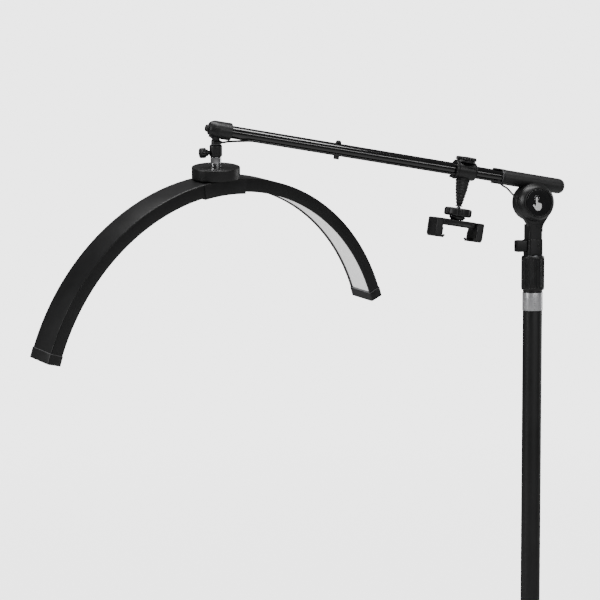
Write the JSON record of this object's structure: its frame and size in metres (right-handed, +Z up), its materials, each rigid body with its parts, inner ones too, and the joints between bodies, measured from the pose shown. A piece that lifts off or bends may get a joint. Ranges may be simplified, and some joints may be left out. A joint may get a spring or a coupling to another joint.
{
  "type": "half moon lamp on boom stand",
  "caption": "Arched half-moon lamp with opal diffusers, hung from a tilting boom with a phone holder on a telescoping column with a weighted round base.",
  "frame": {"origin": "centre of the underside of the base, on the column axis, at the floor", "axes": "+Z up along the column; the boom points towards -X; the touch panel of the head faces -Y"},
  "size_m": [0.9277, 0.333, 1.5255],
  "materials": {
    "powder_coat": "matte black powder coat",
    "arm_shell": "black anodised, satin",
    "gloss_tube": "gloss black coat",
    "moulded_black": "fine moulded texture",
    "grip_black": "ribbed or lobed grip, matte",
    "gloss_panel": "gloss black with a white pictogram",
    "chrome": "polished chrome plate",
    "silver_foil": "satin silver foil, unprinted",
    "zinc_steel": "zinc plated",
    "cast_iron": "raw casting",
    "rubber": "matte rubber",
    "cable_sheath": "smooth PVC sheath",
    "diffuser": "opal white diffuser",
    "circuit_board": "green solder mask"
  },
  "bodies": {
    "stand": {"base_pad": "rubber", "base_weight": "cast_iron", "base_cover": "powder_coat", "column_socket": "moulded_black", "column_bolt": "zinc_steel", "column_tube": "powder_coat", "info_band": "silver_foil", "lock_collet": "moulded_black"},
    "lock_sleeve": {"twist_lock_sleeve": "grip_black"},
    "lift": {"inner_column": "zinc_steel", "neck_base": "moulded_black", "power_inlet": "moulded_black", "neck_screw": "zinc_steel"},
    "head": {"head_housing": "moulded_black", "touch_bezel": "moulded_black", "touch_panel": "gloss_panel", "touch_board": "circuit_board", "pivot_bolt": "zinc_steel", "friction_washer": "rubber", "pivot_nut": "grip_black"},
    "boom": {"boom_bracket": "moulded_black", "boom_handle": "grip_black", "boom_tube": "gloss_tube", "boom_bolt": "moulded_black", "boom_bolt_nut": "moulded_black", "cable_run": "cable_sheath", "cable_head_end": "cable_sheath"},
    "elbow": {"elbow_barrel": "moulded_black", "elbow_button": "moulded_black", "elbow_pin": "zinc_steel"},
    "leg": {"elbow_leg": "moulded_black", "lamp_socket": "moulded_black", "cable_lamp_end": "cable_sheath"},
    "socket_screw": {"thumb_screw": "grip_black"},
    "lamp": {"spigot": "chrome", "driver_housing": "moulded_black", "driver_board": "circuit_board", "centre_bracket": "moulded_black", "arm_left": "arm_shell", "led_strip_left": "circuit_board", "diffuser_left": "diffuser", "end_cap_left": "moulded_black", "arm_right": "arm_shell", "led_strip_right": "circuit_board", "diffuser_right": "diffuser", "end_cap_right": "moulded_black"},
    "phone_clamp": {"boom_clamp": "moulded_black", "holder_stem": "grip_black", "holder_ball": "zinc_steel"},
    "clamp_knob": {"clamp_knob": "grip_black"},
    "ball_cup": {"clip_boss": "moulded_black"},
    "lock_wheel": {"lock_wheel": "grip_black"},
    "phone_clip": {"clip_bar": "moulded_black", "clip_spring": "zinc_steel", "fixed_jaw_pad": "rubber"},
    "clip_jaw": {"sliding_jaw": "moulded_black", "sliding_jaw_pad": "rubber"}
  },
  "joints": [
    {"name": "sleeve_turn", "type": "hinge", "parent": "stand", "child": "lock_sleeve", "pos_m": [0, 0, 1.29], "axis": [0, 0, 1], "range_deg": [-60, 0]},
    {"name": "column_lift", "type": "slide", "parent": "stand", "child": "lift", "axis": [0, 0, 1], "range_m": [0, 0.4]},
    {"name": "head_pan", "type": "hinge", "parent": "lift", "child": "head", "pos_m": [0, 0, 1.35], "axis": [0, 0, 1], "range_deg": [-170, 170]},
    {"name": "boom_tilt", "type": "hinge", "parent": "head", "child": "boom", "pos_m": [0, 0, 1.4], "axis": [0, 1, 0], "range_deg": [-39, 45], "deforming": ["cable_head_end"]},
    {"name": "elbow_twist", "type": "hinge", "parent": "boom", "child": "elbow", "pos_m": [-0.50328, 0.0125, 1.5113], "axis": [0.9877, 0, -0.1564], "range_deg": [-80, 70], "deforming": ["cable_lamp_end"]},
    {"name": "leg_tilt", "type": "hinge", "parent": "elbow", "child": "leg", "pos_m": [-0.50328, 0.0125, 1.5113], "axis": [0.0266, 0.9854, 0.1681], "range_deg": [-5, 12], "deforming": ["cable_lamp_end"]},
    {"name": "screw_turn", "type": "hinge", "parent": "leg", "child": "socket_screw", "pos_m": [-0.50167, 0.01815, 1.47792], "axis": [-0.9985, 0.0342, -0.0425], "continuous": true},
    {"name": "lamp_pan", "type": "hinge", "parent": "leg", "child": "lamp", "pos_m": [-0.50091, 0.02084, 1.46206], "axis": [-0.0476, -0.1667, 0.9849], "range_deg": [-170, 170]},
    {"name": "clamp_slide", "type": "slide", "parent": "boom", "child": "phone_clamp", "axis": [0.9877, 0, -0.1564], "range_m": [-0.12, 0.02]},
    {"name": "knob_turn", "type": "hinge", "parent": "phone_clamp", "child": "clamp_knob", "pos_m": [-0.11019, 0.0125, 1.44904], "axis": [0.1564, 0, 0.9877], "continuous": true},
    {"name": "clip_tilt", "type": "hinge", "parent": "phone_clamp", "child": "ball_cup", "pos_m": [-0.11981, 0.0125, 1.3883], "axis": [0, 1, 0], "range_deg": [-18, 18]},
    {"name": "wheel_turn", "type": "hinge", "parent": "ball_cup", "child": "lock_wheel", "pos_m": [-0.11981, 0.0125, 1.3883], "axis": [0.1564, 0, 0.9877], "continuous": true},
    {"name": "clip_pan", "type": "hinge", "parent": "ball_cup", "child": "phone_clip", "pos_m": [-0.11981, 0.0125, 1.3883], "axis": [0.1564, 0, 0.9877], "range_deg": [-170, 170]},
    {"name": "jaw_slide", "type": "slide", "parent": "phone_clip", "child": "clip_jaw", "axis": [0.9877, 0, -0.1564], "range_m": [0, 0.022], "stiffness_N_per_m": 180, "springref_m": -0.015, "deforming": ["clip_spring"]}
  ]
}
